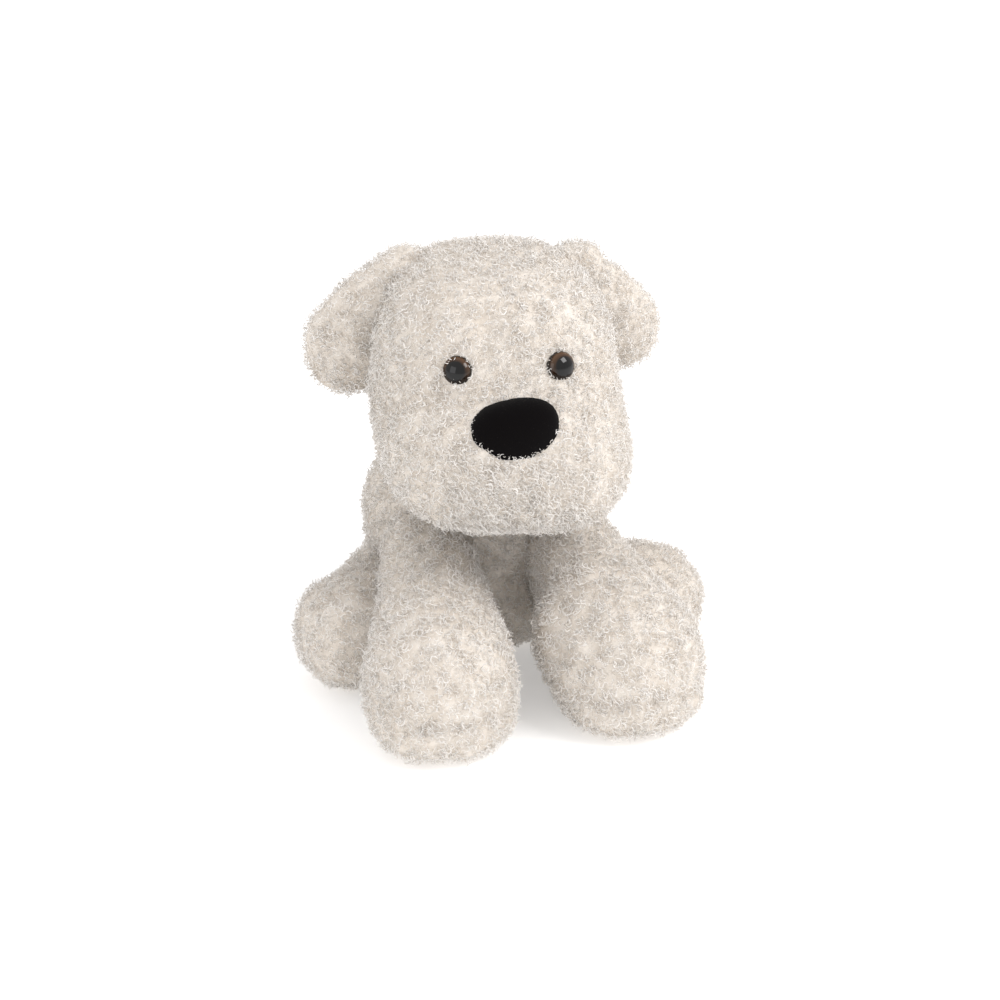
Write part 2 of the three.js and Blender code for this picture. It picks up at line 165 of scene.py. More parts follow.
def ramp(tree, factor, stops):
    node = add_node(tree, "ShaderNodeValToRGB")
    elements = node.color_ramp.elements
    elements[0].position, elements[0].color = stops[0][0], (*stops[0][1], 1)
    elements[1].position, elements[1].color = stops[-1][0], (*stops[-1][1], 1)
    for position, colour in stops[1:-1]:
        element = elements.new(position)
        element.color = (*colour, 1)
    tree.links.new(factor, node.inputs["Fac"])
    return node


def object_noise(tree, scale, detail=3.0, roughness=0.55):
    where = add_node(tree, "ShaderNodeTexCoord")
    noise = add_node(tree, "ShaderNodeTexNoise")
    noise.inputs["Scale"].default_value = scale
    noise.inputs["Detail"].default_value = detail
    noise.inputs["Roughness"].default_value = roughness
    tree.links.new(where.outputs["Object"], noise.inputs["Vector"])
    return noise


def bump(tree, height, shader, strength, distance):
    node = add_node(tree, "ShaderNodeBump")
    node.inputs["Strength"].default_value = strength
    node.inputs["Distance"].default_value = distance
    tree.links.new(height, node.inputs["Height"])
    tree.links.new(node.outputs["Normal"], shader.inputs["Normal"])
    return node


# %% [markdown]
# Curly pile is creamy white, and a random share of the tufts is a warmer cream. The cloth under the
# tufts is coloured darker and warmer than them, as painted shade between the curls.
# The tufts and the cloth under them get two materials of one family.

# %% Pile materials


def tuft_material(name, colour, roughness):
    material, tree, shader = new_material(name)
    shader.inputs["Base Color"].default_value = (*colour, 1)
    shader.inputs["Roughness"].default_value = roughness
    shader.inputs["Specular IOR Level"].default_value = 0.5
    shader.inputs["Sheen Weight"].default_value = 0.15
    shader.inputs["Sheen Roughness"].default_value = 0.4
    return material


bright_tufts = tuft_material("curl_tufts_bright", (0.925, 0.893, 0.855), 0.50)
warm_tufts = tuft_material("curl_tufts_warm", (0.82, 0.765, 0.70), 0.60)

# Painted shade: the backing cloth's colour is set darker and warmer than the tufts to stand for the
# shade between the curls; the noise varies its tone at random.
ground_material, ground_tree, ground_shader = new_material("pile_ground")
ground_noise = object_noise(ground_tree, 130.0, detail=4.0)
ground_tone_and_painted_shade = ramp(ground_tree, ground_noise.outputs["Fac"],
                      [(0.35, (0.76, 0.69, 0.61)), (0.65, (0.83, 0.775, 0.71))])
ground_tree.links.new(ground_tone_and_painted_shade.outputs["Color"], ground_shader.inputs["Base Color"])
ground_shader.inputs["Roughness"].default_value = 0.9
ground_fluff = object_noise(ground_tree, 1100.0, detail=3.0, roughness=0.7)
bump(ground_tree, ground_fluff.outputs["Fac"], ground_shader, 0.9, 0.0007)

# %% [markdown]
# A stuffed form is a few rounded lumps that flow into each other. The lumps are written as
# distance rules. Along each direction from the middle of the form, a search finds where the
# blended rule crosses zero, and that gives one even, closed skin.

# %% Rounded forms from blended lumps


def lump_distance(points, lump):
    offset = points - np.array(lump["at"])
    if "to" in lump:
        run = np.array(lump["to"]) - np.array(lump["at"])
        along = np.clip(offset @ run / (run @ run), 0, 1)
        radius = lump["size"][0] + (lump["size"][1] - lump["size"][0]) * along
        return np.linalg.norm(offset - along[:, None] * run, axis=1) - radius
    size = np.array(lump["size"])
    power = lump.get("power", 2.0)
    reach = (np.abs(offset / size) ** power).sum(axis=1) ** (1 / power)
    return (reach - 1) * size.min()


def form_distance(points, lumps, softness):
    total = np.zeros(len(points))
    for lump in lumps:
        total += np.exp(-np.clip(lump_distance(points, lump) / softness, -60, 60))
    return -softness * np.log(total + 1e-30)


def form_mesh(name, lumps, middle_point, softness, reach=0.16, detail=5):
    """A closed skin where the blended lumps end, seen from a point inside them."""
    sphere = bmesh.new()
    bmesh.ops.create_icosphere(sphere, subdivisions=detail, radius=1.0)
    ways = np.array([v.co[:] for v in sphere.verts])
    near, far = np.zeros(len(ways)), np.full(len(ways), reach)
    start = np.array(middle_point)
    for _ in range(26):
        half = (near + far) / 2
        inside = form_distance(start + ways * half[:, None], lumps, softness) < 0
        near = np.where(inside, half, near)
        far = np.where(inside, far, half)
    for vertex, place in zip(sphere.verts, start + ways * near[:, None]):
        vertex.co = place
    mesh = bpy.data.meshes.new(name)
    sphere.to_mesh(mesh)
    sphere.free()
    piece = bpy.data.objects.new(name, mesh)
    bpy.context.scene.collection.objects.link(piece)
    return piece


forms = {}


def remember(label, lumps, softness, place):
    """Keeps a form, so that no pile is planted deep inside a neighbour."""
    forms[label] = (lumps, softness, np.array(place.inverted()))


def depth_in_neighbours(points, label):
    depth = np.full(len(points), 1.0)
    for other, (lumps, softness, out) in forms.items():
        if other != label:
            inside = points @ out[:3, :3].T + out[:3, 3]
            depth = np.minimum(depth, form_distance(inside, lumps, softness))
    return depth


def coords(mesh):
    flat = np.empty(len(mesh.vertices) * 3, np.float32)
    mesh.vertices.foreach_get("co", flat)
    return flat.reshape(-1, 3)


def set_coords(mesh, points):
    mesh.vertices.foreach_set("co", np.asarray(points, np.float32).ravel())
    mesh.update()


def keep_above_floor(mesh, height=0.0002):
    points = coords(mesh)
    points[:, 2] = np.maximum(points[:, 2], height)
    set_coords(mesh, points)


# %% [markdown]
# Stuffing pushes a cover out from inside. Cloth with pressure and no gravity does the same:
# the form is remeshed evenly, starts a little slack, and swells until its cloth holds it.
# How far a point may swell and how far it may draw in are both capped, so the dog keeps its
# size. On small, tight covers such as the tail the caps decide more than the cloth does.

# %% Stuffing by cloth simulation
SLACK = 0.0016
STUFFING_FRAMES = 20
DRAW_IN = 0.0003


def freeze(piece):
    """Makes what the modifiers show the piece's own mesh, and removes them."""
    depsgraph = bpy.context.evaluated_depsgraph_get()
    finished = bpy.data.meshes.new_from_object(piece.evaluated_get(depsgraph))
    piece.modifiers.clear()
    piece.data = finished
    return piece


def remesh(piece, voxel):
    modifier = piece.modifiers.new("even", "REMESH")
    modifier.mode = "VOXEL"
    modifier.voxel_size = voxel
    return freeze(piece)


def vertex_normals(mesh):
    normals = np.empty(len(mesh.vertices) * 3, np.float32)
    mesh.vertices.foreach_get("normal", normals)
    return normals.reshape(-1, 3)


def stuff(piece, pressure, cap):
    """Fills a closed cover: it starts slack and swells by at most the cap."""
    mesh = piece.data
    target = coords(mesh).copy()
    outward = vertex_normals(mesh).copy()
    set_coords(mesh, target - outward * SLACK)
    modifier = piece.modifiers.new("stuffing", "CLOTH")
    settings = modifier.settings
    settings.quality = 4
    settings.mass = 0.004
    settings.tension_stiffness = 0.1
    settings.compression_stiffness = 0.1
    settings.shear_stiffness = 0.05
    settings.bending_stiffness = 0.01
    settings.use_pressure = True
    settings.uniform_pressure_force = pressure
    settings.effector_weights.gravity = 0
    modifier.collision_settings.use_collision = False
    modifier.point_cache.frame_start = 1
    modifier.point_cache.frame_end = STUFFING_FRAMES
    scene = bpy.context.scene
    for number in range(1, STUFFING_FRAMES + 1):
        scene.frame_set(number)
    freeze(piece)
    scene.frame_set(1)
    moved = coords(piece.data) - target
    swell = (moved * outward).sum(axis=1)
    moved += outward * np.maximum(0, -DRAW_IN - swell)[:, None]
    length = np.linalg.norm(moved, axis=1, keepdims=True)
    moved *= np.minimum(1, cap / np.maximum(length, 1e-9))
    set_coords(piece.data, target + moved)
    print(piece.name, "stuffed, from", round(float(swell.min()) * 1000, 1), "to",
          round(float(swell.max()) * 1000, 1), "mm, mean", round(float(swell.mean()) * 1000, 2))
    return piece


# %% [markdown]
# The surface of the pile isn't even: curls gather in small clumps, with hollows between
# them. A noise field moves the fine skin in and out by up to two millimetres.

# %% Clumps in the ground of the pile


def subdivide(piece, levels):
    modifier = piece.modifiers.new("finer", "SUBSURF")
    modifier.levels = modifier.render_levels = levels
    return freeze(piece)


def clump(piece, depth=0.0018, size=0.0080):
    texture = bpy.data.textures.new(piece.name + "_clumps", "CLOUDS")
    texture.noise_scale = size
    texture.noise_depth = 2
    modifier = piece.modifiers.new("clumps", "DISPLACE")
    modifier.texture = texture
    modifier.texture_coords = "LOCAL"
    modifier.strength = depth * 2
    modifier.mid_level = 0.5
    return freeze(piece)


def smooth_faces(mesh):
    mesh.polygons.foreach_set("use_smooth", np.ones(len(mesh.polygons), bool))


def finish_cover(piece, place, pressure=110.0, cap=0.0016, voxel=0.0042, levels=1):
    """From a rounded form in its own axes to a stuffed, clumped skin in the row frame."""
    piece.data.transform(place)
    remesh(piece, voxel)
    stuff(piece, pressure, cap)
    subdivide(piece, levels)
    clump(piece)
    keep_above_floor(piece.data)
    smooth_faces(piece.data)
    piece.data.materials.clear()
    piece.data.materials.append(ground_material)
    print(piece.name, "has", len(piece.data.polygons), "faces")
    return piece


# %% [markdown]
# The head is one round skull with a broad soft muzzle low on its front. The cheek on the dog's
# left is a little fuller than the other. The width, the crown, the nape and the snout come
# from the box of the cover panels, measured in the head's own axes.

# %% Head form


def own_box(nodes, place):
    back_again = place.inverted()
    points = np.concatenate([
        np.array([(back_again @ v.co)[:] for v in frame["nodes"][n].data.vertices])
        for n in nodes])
    return Vector(points.min(0)), Vector(points.max(0))


PILE_DEPTH = 0.0028
head_panels = ["head_left_panel", "head_right_panel", "head_gusset", "chin_panel"]
head_low, head_high = own_box(head_panels, head_place)
head_half = (head_high.x - head_low.x) / 2 - PILE_DEPTH
crown = head_high.z - PILE_DEPTH
nape = head_high.y - PILE_DEPTH
snout = head_low.y + PILE_DEPTH
print("head half width", round(head_half, 4), "crown", round(crown, 4))

skull_half_height = 0.0525
skull_half_depth = 0.048
skull_aside = 0.0015
crown_gap = 0.0025
muzzle_half_depth = 0.034
muzzle_drop = 0.0205
skull_middle = (-skull_aside, nape - skull_half_depth, crown - crown_gap - skull_half_height)
muzzle_middle = (0, snout + muzzle_half_depth, skull_middle[2] - muzzle_drop)
skull = {"at": skull_middle,
         "size": (head_half - skull_aside, skull_half_depth, skull_half_height), "power": 2.7}
muzzle = {"at": muzzle_middle, "size": (head_half - 0.0040, muzzle_half_depth, 0.0285),
          "power": 2.6}
bridge = {"at": (0, snout + 0.026, skull_middle[2] - 0.010), "size": (0.024, 0.025, 0.020)}
left_cheek = {"at": (0.026, snout + 0.040, muzzle_middle[2] - 0.0135),
              "size": (0.0205, 0.026, 0.015)}
head_lumps = [skull, muzzle, bridge, left_cheek]
HEAD_SOFTNESS = 0.005
remember("head", head_lumps, HEAD_SOFTNESS, head_place)
head_cover = finish_cover(
    form_mesh("head_cover", head_lumps, skull_middle, HEAD_SOFTNESS), head_place, cap=0.0008)

# %% [markdown]
# The body is a pear: a full belly that sits flat on the ground, with some of it pushed forward
# between the forelegs, and narrower shoulders. The sockets of the CAD model are left closed
# here, because the legs' covers fill them.

# %% Body form
_, body_high = own_box(
    ["torso_left_panel", "torso_right_panel", "seat_panel"], Matrix.Identity(4))
body_half = body_high.x - PILE_DEPTH - 0.0025
body_back = body_high.y - PILE_DEPTH
belly_depth = 0.0435
belly_middle = (0, body_back - belly_depth, 0.039)
belly = {"at": belly_middle, "size": (body_half, belly_depth, 0.0440)}
shoulders = {"at": (0, belly_middle[1] - 0.002, 0.066), "size": (0.0465, 0.0385, 0.0330)}
belly_front = {"at": (0.002, belly_middle[1] - 0.015, 0.020), "size": (0.034, 0.0315, 0.021)}
body_lumps = [belly, shoulders, belly_front]
BODY_SOFTNESS = 0.006
remember("torso", body_lumps, BODY_SOFTNESS, Matrix.Identity(4))
torso_cover = finish_cover(
    form_mesh("torso_cover", body_lumps, (0, belly_middle[1], 0.05), BODY_SOFTNESS),
    Matrix.Identity(4))

# %% [markdown]
# A foreleg widens from the shoulder to a heavy paw. A crease runs across the front of the
# paw, where the toe is turned under and sewn, so the paw is two lumps, one on the other.

# %% Leg forms


def leg_ends(label, joint, side, paw_radius):
    """The joint at a leg's root, and the middle of its paw."""
    root = joint_point(joint)
    low, high = own_box([f"{label}_outer_panel", f"{label}_inner_panel"], Matrix.Identity(4))
    wide = high.x - paw_radius if side > 0 else low.x + paw_radius
    return root, Vector((wide, low.y + paw_radius, paw_radius - 0.001))


FORELEG_SOFTNESS, HIND_LEG_SOFTNESS = 0.0030, 0.0035
CREASE_HEIGHT, CREASE_WIDTH, CREASE_DEPTH, CREASE_SAG = 0.0215, 0.0034, 0.0020, 0.004


def toe_crease(cover, paw):
    """Draws the front of a paw in along the line where its toe is turned under."""
    points = coords(cover.data)
    across = (points[:, 0] - paw.x) / FRONT_PAW
    line = CREASE_HEIGHT - CREASE_SAG * across ** 2
    fade = np.clip((paw.y - 0.006 - points[:, 1]) / 0.010, 0, 1) * np.clip(1.15 - across ** 2, 0, 1)
    points[:, 1] += CREASE_DEPTH * fade * np.exp(-((points[:, 2] - line) / CREASE_WIDTH) ** 2)
    set_coords(cover.data, points)


leg_covers = {}
FRONT_PAW, HIND_PAW = 0.030, 0.0265
for name, side in SIDES.items():
    label = f"front_leg_{name}"
    root, paw = leg_ends(label, f"{label}_lift", side, FRONT_PAW)
    shin = {"at": root, "to": paw, "size": (0.0190, 0.0272)}
    heel = {"at": paw + Vector((0, 0.003, 0.001)), "size": (0.0275, 0.0265, 0.0255)}
    sole = {"at": (paw.x, paw.y + 0.0005, 0.0125), "size": (0.0285, 0.0280, 0.0122),
            "power": 2.3}
    lumps = [shin, heel, sole]
    if side > 0:
        # This foreleg is fuller on its inner side than the other one.
        lumps.append({"at": (root.x - 0.0055, paw.y + 0.013, 0.034),
                      "size": (0.0215, 0.021, 0.021)})
    remember(label, lumps, FORELEG_SOFTNESS, Matrix.Identity(4))
    leg_covers[label] = finish_cover(
        form_mesh(f"{label}_cover", lumps, root.lerp(paw, 0.6), FORELEG_SOFTNESS),
        Matrix.Identity(4))
    toe_crease(leg_covers[label], paw)
    label = f"hind_leg_{name}"
    root, paw = leg_ends(label, f"{label}_spread", side, HIND_PAW)
    thigh = {"at": root - Vector((0, 0, 0.006 + 0.003 * side)), "to": paw,
             "size": (0.0145, 0.0165)}
    foot = {"at": paw + Vector((0.002 * side, -0.007, -0.0020)),
            "size": (0.0240, 0.0240, 0.0222), "power": 2.35}
    lumps = [thigh, foot]
    remember(label, lumps, HIND_LEG_SOFTNESS, Matrix.Identity(4))
    leg_covers[label] = finish_cover(
        form_mesh(f"{label}_cover", lumps, root.lerp(paw, 0.5), HIND_LEG_SOFTNESS),
        Matrix.Identity(4))

# %% [markdown]
# An ear is a thin rounded lobe with a little batting in it. It hangs from the side of the
# crown and widens to its tip. The two are not alike: the one on the dog's right is larger and
# hangs lower.

# %% Ear and tail forms
EAR_SHARES = (0.0, 0.35, 0.7, 1.0)
EAR_RADII = {"left": (0.0095, 0.0115, 0.0148, 0.0165),
             "right": (0.0108, 0.0125, 0.0168, 0.0190)}
EAR_LIFT = {"left": 0.0005, "right": -0.0050}
EAR_REACH = {"left": 0.0, "right": 0.0022}
EAR_HALF_THICKNESS = 0.0068
EAR_SOFTNESS = 0.003
TAIL_RADII = (0.0095, 0.0078)
TAIL_INSET = 0.0095
TAIL_SOFTNESS = 0.003

ear_covers = {}
for name, side in SIDES.items():
    label = f"ear_{name}"
    low, high = own_box([f"{label}_front_panel", f"{label}_back_panel"], head_place)
    outer = high.x if side > 0 else low.x
    hinge = head_place.inverted() @ joint_point(f"{label}_fold")
    crown_point = hinge + Vector((0.001 * side, -0.001, -0.0005))
    tip_radius = EAR_RADII[name][-1] + 0.0015
    tip_point = Vector((outer + (EAR_REACH[name] - tip_radius) * side,
                        hinge.y - 0.004,
                        low.z + tip_radius + EAR_LIFT[name]))
    lumps = []
    for share, radius in zip(EAR_SHARES, EAR_RADII[name]):
        spot = crown_point.lerp(tip_point, share)
        lumps.append({"at": spot, "size": (radius, EAR_HALF_THICKNESS, radius)})
    remember(label, lumps, EAR_SOFTNESS, head_place)
    ear_covers[label] = finish_cover(
        form_mesh(f"{label}_cover", lumps, crown_point.lerp(tip_point, 0.5), EAR_SOFTNESS),
        head_place, voxel=0.0034)

_, tail_high = own_box(["tail_left_panel", "tail_right_panel"], Matrix.Identity(4))
tail_root = joint_point("tail_wag")
tail_tip = Vector((0, tail_high.y - TAIL_INSET, tail_high.z - TAIL_INSET))
tail_cover = finish_cover(
    form_mesh("tail_cover", [{"at": tail_root, "to": tail_tip, "size": TAIL_RADII}],
              tail_root.lerp(tail_tip, 0.5), TAIL_SOFTNESS),
    Matrix.Identity(4), voxel=0.003)

# %% [markdown]
# The pile. Each tuft is a short spiral of fibre that tapers to its ends, made inside the
# node tree as a curve with a three-sided section, so it costs a few dozen faces. Points are
# spread over a cover, and each one gets a tuft that stands out along the surface, leans with
# its clump and turns at random. The tree makes whole fleeces from a handful of tufts.

# %% Geometry Nodes tree for the pile
TUFTS = [
    # turns, start radius, end radius, height (mm)
    (0.90, 0.95, 0.60, 2.5),
    (1.20, 0.80, 0.65, 2.8),
    (0.70, 1.15, 0.55, 2.2),
    (1.40, 0.70, 0.45, 3.0),
    (0.60, 1.30, 0.90, 2.5),
    (1.05, 0.80, 0.90, 2.0),
]
POINTS_PER_TUFT = 5
WARM_SHARE = 0.35


def pile_tree():
    tree = bpy.data.node_groups.new("curly_pile", "GeometryNodeTree")
    face = tree.interface
    face.new_socket("Cover", in_out="INPUT", socket_type="NodeSocketGeometry")
    for label, value in (("Spacing", 0.00095), ("Density", 1100000.0), ("Fibre", 0.00018),
                         ("Lean", 0.38), ("Smallest", 0.8), ("Largest", 1.3),
                         ("Locks", 135.0), ("Gather", 0.6)):
        socket = face.new_socket(label, in_out="INPUT", socket_type="NodeSocketFloat")
        socket.default_value = value
    seed = face.new_socket("Seed", in_out="INPUT", socket_type="NodeSocketInt")
    seed.default_value = 1
    comb = face.new_socket("Comb", in_out="INPUT", socket_type="NodeSocketVector")
    comb.default_value = (0, 0, -0.3)
    face.new_socket("Finish", in_out="INPUT", socket_type="NodeSocketMaterial")
    face.new_socket("Warm finish", in_out="INPUT", socket_type="NodeSocketMaterial")
    face.new_socket("Pile", in_out="OUTPUT", socket_type="NodeSocketGeometry")

    nodes, link = tree.nodes, tree.links.new
    given = nodes.new("NodeGroupInput").outputs
    result = nodes.new("NodeGroupOutput").inputs

    def math_node(operation, first, second):
        node = nodes.new("ShaderNodeMath")
        node.operation = operation
        for socket, value in zip(node.inputs, (first, second)):
            if isinstance(value, (int, float)):
                socket.default_value = value
            else:
                link(value, socket)
        return node.outputs[0]

    # One spiral for each kind of tuft, thin at its ends.
    kinds = nodes.new("GeometryNodeJoinGeometry")
    section = nodes.new("GeometryNodeCurvePrimitiveCircle")
    section.inputs["Resolution"].default_value = 3
    link(given["Fibre"], section.inputs["Radius"])
    along = nodes.new("GeometryNodeSplineParameter").outputs["Factor"]
    swell = math_node("SINE", math_node("MULTIPLY", along, math.pi * 0.86), 0)
    girth = math_node("ADD", math_node("MULTIPLY", swell, 0.75), 0.3)
    for turns, start, end, height in TUFTS:
        spiral = nodes.new("GeometryNodeCurveSpiral")
        spiral.inputs["Resolution"].default_value = max(2, round(POINTS_PER_TUFT / turns))
        spiral.inputs["Rotations"].default_value = turns
        spiral.inputs["Start Radius"].default_value = start * MM
        spiral.inputs["End Radius"].default_value = end * MM
        spiral.inputs["Height"].default_value = height * MM
        to_mesh = nodes.new("GeometryNodeCurveToMesh")
        to_mesh.inputs["Fill Caps"].default_value = True
        link(spiral.outputs["Curve"], to_mesh.inputs["Curve"])
        link(section.outputs["Curve"], to_mesh.inputs["Profile Curve"])
        if "Scale" in to_mesh.inputs:
            link(girth, to_mesh.inputs["Scale"])
        one = nodes.new("GeometryNodeGeometryToInstance")
        link(to_mesh.outputs["Mesh"], one.inputs["Geometry"])
        link(one.outputs["Instances"], kinds.inputs["Geometry"])

    spread = nodes.new("GeometryNodeDistributePointsOnFaces")
    spread.distribute_method = "POISSON"
    link(given["Cover"], spread.inputs["Mesh"])
    link(given["Spacing"], spread.inputs["Distance Min"])
    link(given["Density"], spread.inputs["Density Max"])
    link(given["Seed"], spread.inputs["Seed"])

    def vector_node(operation, first, second):
        node = nodes.new("ShaderNodeVectorMath")
        node.operation = operation
        for socket, value in zip(node.inputs, (first, second)):
            if isinstance(value, tuple):
                socket.default_value = value
            else:
                link(value, socket)
        return node.outputs[0]

    # Tufts gather in locks: each leans to the middle of its cell and is tallest there.
    position = nodes.new("GeometryNodeInputPosition").outputs[0]
    cells = nodes.new("ShaderNodeTexVoronoi")
    link(position, cells.inputs["Vector"])
    link(given["Locks"], cells.inputs["Scale"])
    gathered = nodes.new("ShaderNodeVectorMath")
    gathered.operation = "SCALE"
    link(vector_node("SUBTRACT", cells.outputs["Position"], position), gathered.inputs[0])
    link(math_node("MULTIPLY", given["Locks"], given["Gather"]), gathered.inputs["Scale"])
    tall = math_node("SUBTRACT", 1.18, math_node("MULTIPLY", cells.outputs["Distance"], 0.40))

    # Neighbours lean the same way, because the noise that leans them is broad.
    noise = nodes.new("ShaderNodeTexNoise")
    noise.inputs["Scale"].default_value = 150.0
    noise.inputs["Detail"].default_value = 1.5
    link(position, noise.inputs["Vector"])
    leaned = nodes.new("ShaderNodeVectorMath")
    leaned.operation = "SCALE"
    link(vector_node("SUBTRACT", noise.outputs["Color"], (0.5, 0.5, 0.5)), leaned.inputs[0])
    link(math_node("MULTIPLY", given["Lean"], 2.5), leaned.inputs["Scale"])
    stray = nodes.new("FunctionNodeRandomValue")
    stray.data_type = "FLOAT_VECTOR"
    stray.inputs["Min"].default_value = (-0.6, -0.6, -0.6)
    stray.inputs["Max"].default_value = (0.6, 0.6, 0.6)
    link(given["Seed"], stray.inputs["Seed"])
    way = vector_node("ADD", spread.outputs["Normal"], leaned.outputs[0])
    way = vector_node("ADD", way, stray.outputs[0])
    way = vector_node("ADD", way, gathered.outputs[0])
    way = vector_node("ADD", way, given["Comb"])
    stand = nodes.new("FunctionNodeAlignRotationToVector")
    stand.axis = "Z"
    link(way, stand.inputs["Vector"])
    spin = nodes.new("FunctionNodeRandomValue")
    spin.data_type = "FLOAT_VECTOR"
    spin.inputs["Min"].default_value = (0, 0, -math.pi)
    spin.inputs["Max"].default_value = (0, 0, math.pi)
    link(given["Seed"], spin.inputs["Seed"])
    turned = nodes.new("FunctionNodeRotateRotation")
    turned.rotation_space = "LOCAL"
    link(stand.outputs["Rotation"], turned.inputs["Rotation"])
    link(spin.outputs[0], turned.inputs["Rotate By"])

    size = nodes.new("FunctionNodeRandomValue")
    size.data_type = "FLOAT"
    link(given["Smallest"], size.inputs[2])
    link(given["Largest"], size.inputs[3])
    link(given["Seed"], size.inputs["Seed"])

    plant = nodes.new("GeometryNodeInstanceOnPoints")
    plant.inputs["Pick Instance"].default_value = True
    link(spread.outputs["Points"], plant.inputs["Points"])
    link(kinds.outputs["Geometry"], plant.inputs["Instance"])
    link(turned.outputs["Rotation"], plant.inputs["Rotation"])
    link(math_node("MULTIPLY", size.outputs[1], tall), plant.inputs["Scale"])
    tint = nodes.new("GeometryNodeStoreNamedAttribute")
    tint.data_type, tint.domain = "FLOAT", "INSTANCE"
    tint.inputs["Name"].default_value = "tint"
    chance = nodes.new("FunctionNodeRandomValue")
    link(given["Seed"], chance.inputs["Seed"])
    link(plant.outputs["Instances"], tint.inputs["Geometry"])
    link(chance.outputs[1], tint.inputs["Value"])
    real = nodes.new("GeometryNodeRealizeInstances")
    link(tint.outputs["Geometry"], real.inputs["Geometry"])
    bright = nodes.new("GeometryNodeSetMaterial")
    link(real.outputs["Geometry"], bright.inputs["Geometry"])
    link(given["Finish"], bright.inputs["Material"])
    kept_tint = nodes.new("GeometryNodeInputNamedAttribute")
    kept_tint.data_type = "FLOAT"
    kept_tint.inputs["Name"].default_value = "tint"
    dress = nodes.new("GeometryNodeSetMaterial")
    link(bright.outputs["Geometry"], dress.inputs["Geometry"])
    link(math_node("LESS_THAN", kept_tint.outputs[0], WARM_SHARE), dress.inputs["Selection"])
    link(given["Warm finish"], dress.inputs["Material"])
    link(dress.outputs["Geometry"], result["Pile"])
    sockets = {item.name: item.identifier for item in face.items_tree
               if item.in_out == "INPUT"}
    return tree, sockets


curly_pile, pile_sockets = pile_tree()

# %% [markdown]
# Planting. A fleece rides on the same body as its cover. Large covers are planted in parts,
# cut by a plane, so that no single fleece grows too heavy. Nothing is planted where the
# cover lies on the ground or is buried in a neighbour.

# %% Plant the pile
BURIED = -0.002
GROUND_CONTACT = 0.004


def part_of_cover(cover, label, keep):
    """A loose copy of a cover with only the faces that show and that pass a test."""
    loose = bmesh.new()
    loose.from_mesh(cover.data)
    faces = list(loose.faces)
    centres = np.array([f.calc_center_median()[:] for f in faces])
    depth = depth_in_neighbours(centres, label)
    gone = []
    for face, centre, buried in zip(faces, centres, depth < BURIED):
        on_ground = centre[2] < GROUND_CONTACT and face.normal.z < -0.5
        if buried or on_ground or not keep(Vector(centre)):
            gone.append(face)
    bmesh.ops.delete(loose, geom=gone, context="FACES")
    mesh = bpy.data.meshes.new(cover.name + "_part")
    loose.to_mesh(mesh)
    loose.free()
    return mesh


def plant(name, cover, label, seed, keep=lambda centre: True, **inputs):
    piece = bpy.data.objects.new(name, part_of_cover(cover, label, keep))
    bpy.context.scene.collection.objects.link(piece)
    modifier = piece.modifiers.new("pile", "NODES")
    modifier.node_group = curly_pile
    modifier[pile_sockets["Seed"]] = seed
    modifier[pile_sockets["Finish"]] = bright_tufts
    modifier[pile_sockets["Warm finish"]] = warm_tufts
    for socket, value in inputs.items():
        modifier[pile_sockets[socket]] = value
    freeze(piece)
    keep_above_floor(piece.data)
    smooth_faces(piece.data)
    piece.data.calc_loop_triangles()
    print(name, len(piece.data.loop_triangles), "triangles")
    return piece


def wear(cover, body, nodes, fleeces):
    """The cover and its fleeces move with a body, and stand for its CAD nodes."""
    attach(cover, body)
    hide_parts(*nodes)
    for fleece in fleeces:
        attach(fleece, body)


out_of_head = head_place.inverted()


def in_head(point):
    return out_of_head @ point


eye_spots = []
for name in SIDES:
    low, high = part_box(f"eye_{name}_lens")
    eye_spots.append(in_head((Vector(low) + Vector(high)) / 2))
nose_low, nose_high = own_box(["nose_cover"], head_place)
nose_spot = (nose_low + nose_high) / 2
nose_half = (nose_high - nose_low) / 2
EYE_BARE, NOSE_BARE = 0.0044, 0.84


def clear_of_face(point):
    """True away from the eyes and the nose, for a point in the head's own axes."""
    if any((point - spot).length < EYE_BARE for spot in eye_spots):
        return False
    across = (point.x - nose_spot.x) / nose_half.x
    upward = (point.z - nose_spot.z) / nose_half.z
    return point.y > skull_middle[1] or math.hypot(across, upward) > NOSE_BARE


def in_quarter(front, side):
    def test(centre):
        point = in_head(centre)
        ahead = point.y < skull_middle[1] - 0.010
        return ahead == front and (point.x >= 0) == side and clear_of_face(point)
    return test


def below_nose(centre):
    point = in_head(centre)
    return (point.y < muzzle_middle[1] and abs(point.x) < 0.030
            and muzzle_middle[2] - 0.026 < point.z < nose_low.z + 0.003)


head_fleeces = []
for index, (front, side) in enumerate([(True, True), (True, False),
                                       (False, True), (False, False)]):
    label = f"head_pile_{'front' if front else 'back'}_{'left' if side else 'right'}"
    head_fleeces.append(
        plant(label, head_cover, "head", 11 + index, in_quarter(front, side)))
head_fleeces.append(plant("muzzle_locks", head_cover, "head", 19, below_nose,
                          Comb=(0.0, -0.3, -2.2), Lean=0.4, Density=700000.0, Gather=1.3,
                          Locks=150.0, Fibre=0.00015, Smallest=0.85, Largest=1.25))
wear(head_cover, "head", head_panels + ["head_stuffing"], head_fleeces)

torso_fleeces = []
for index, (front, side) in enumerate([(True, True), (True, False),
                                       (False, True), (False, False)]):
    label = f"torso_pile_{'front' if front else 'back'}_{'left' if side else 'right'}"
    torso_fleeces.append(plant(
        label, torso_cover, "torso", 21 + index,
        lambda c: (c.y < belly_middle[1]) == front and (c.x >= 0) == side))
wear(torso_cover, "torso",
     ["torso_left_panel", "torso_right_panel", "seat_panel", "torso_stuffing"],
     torso_fleeces)

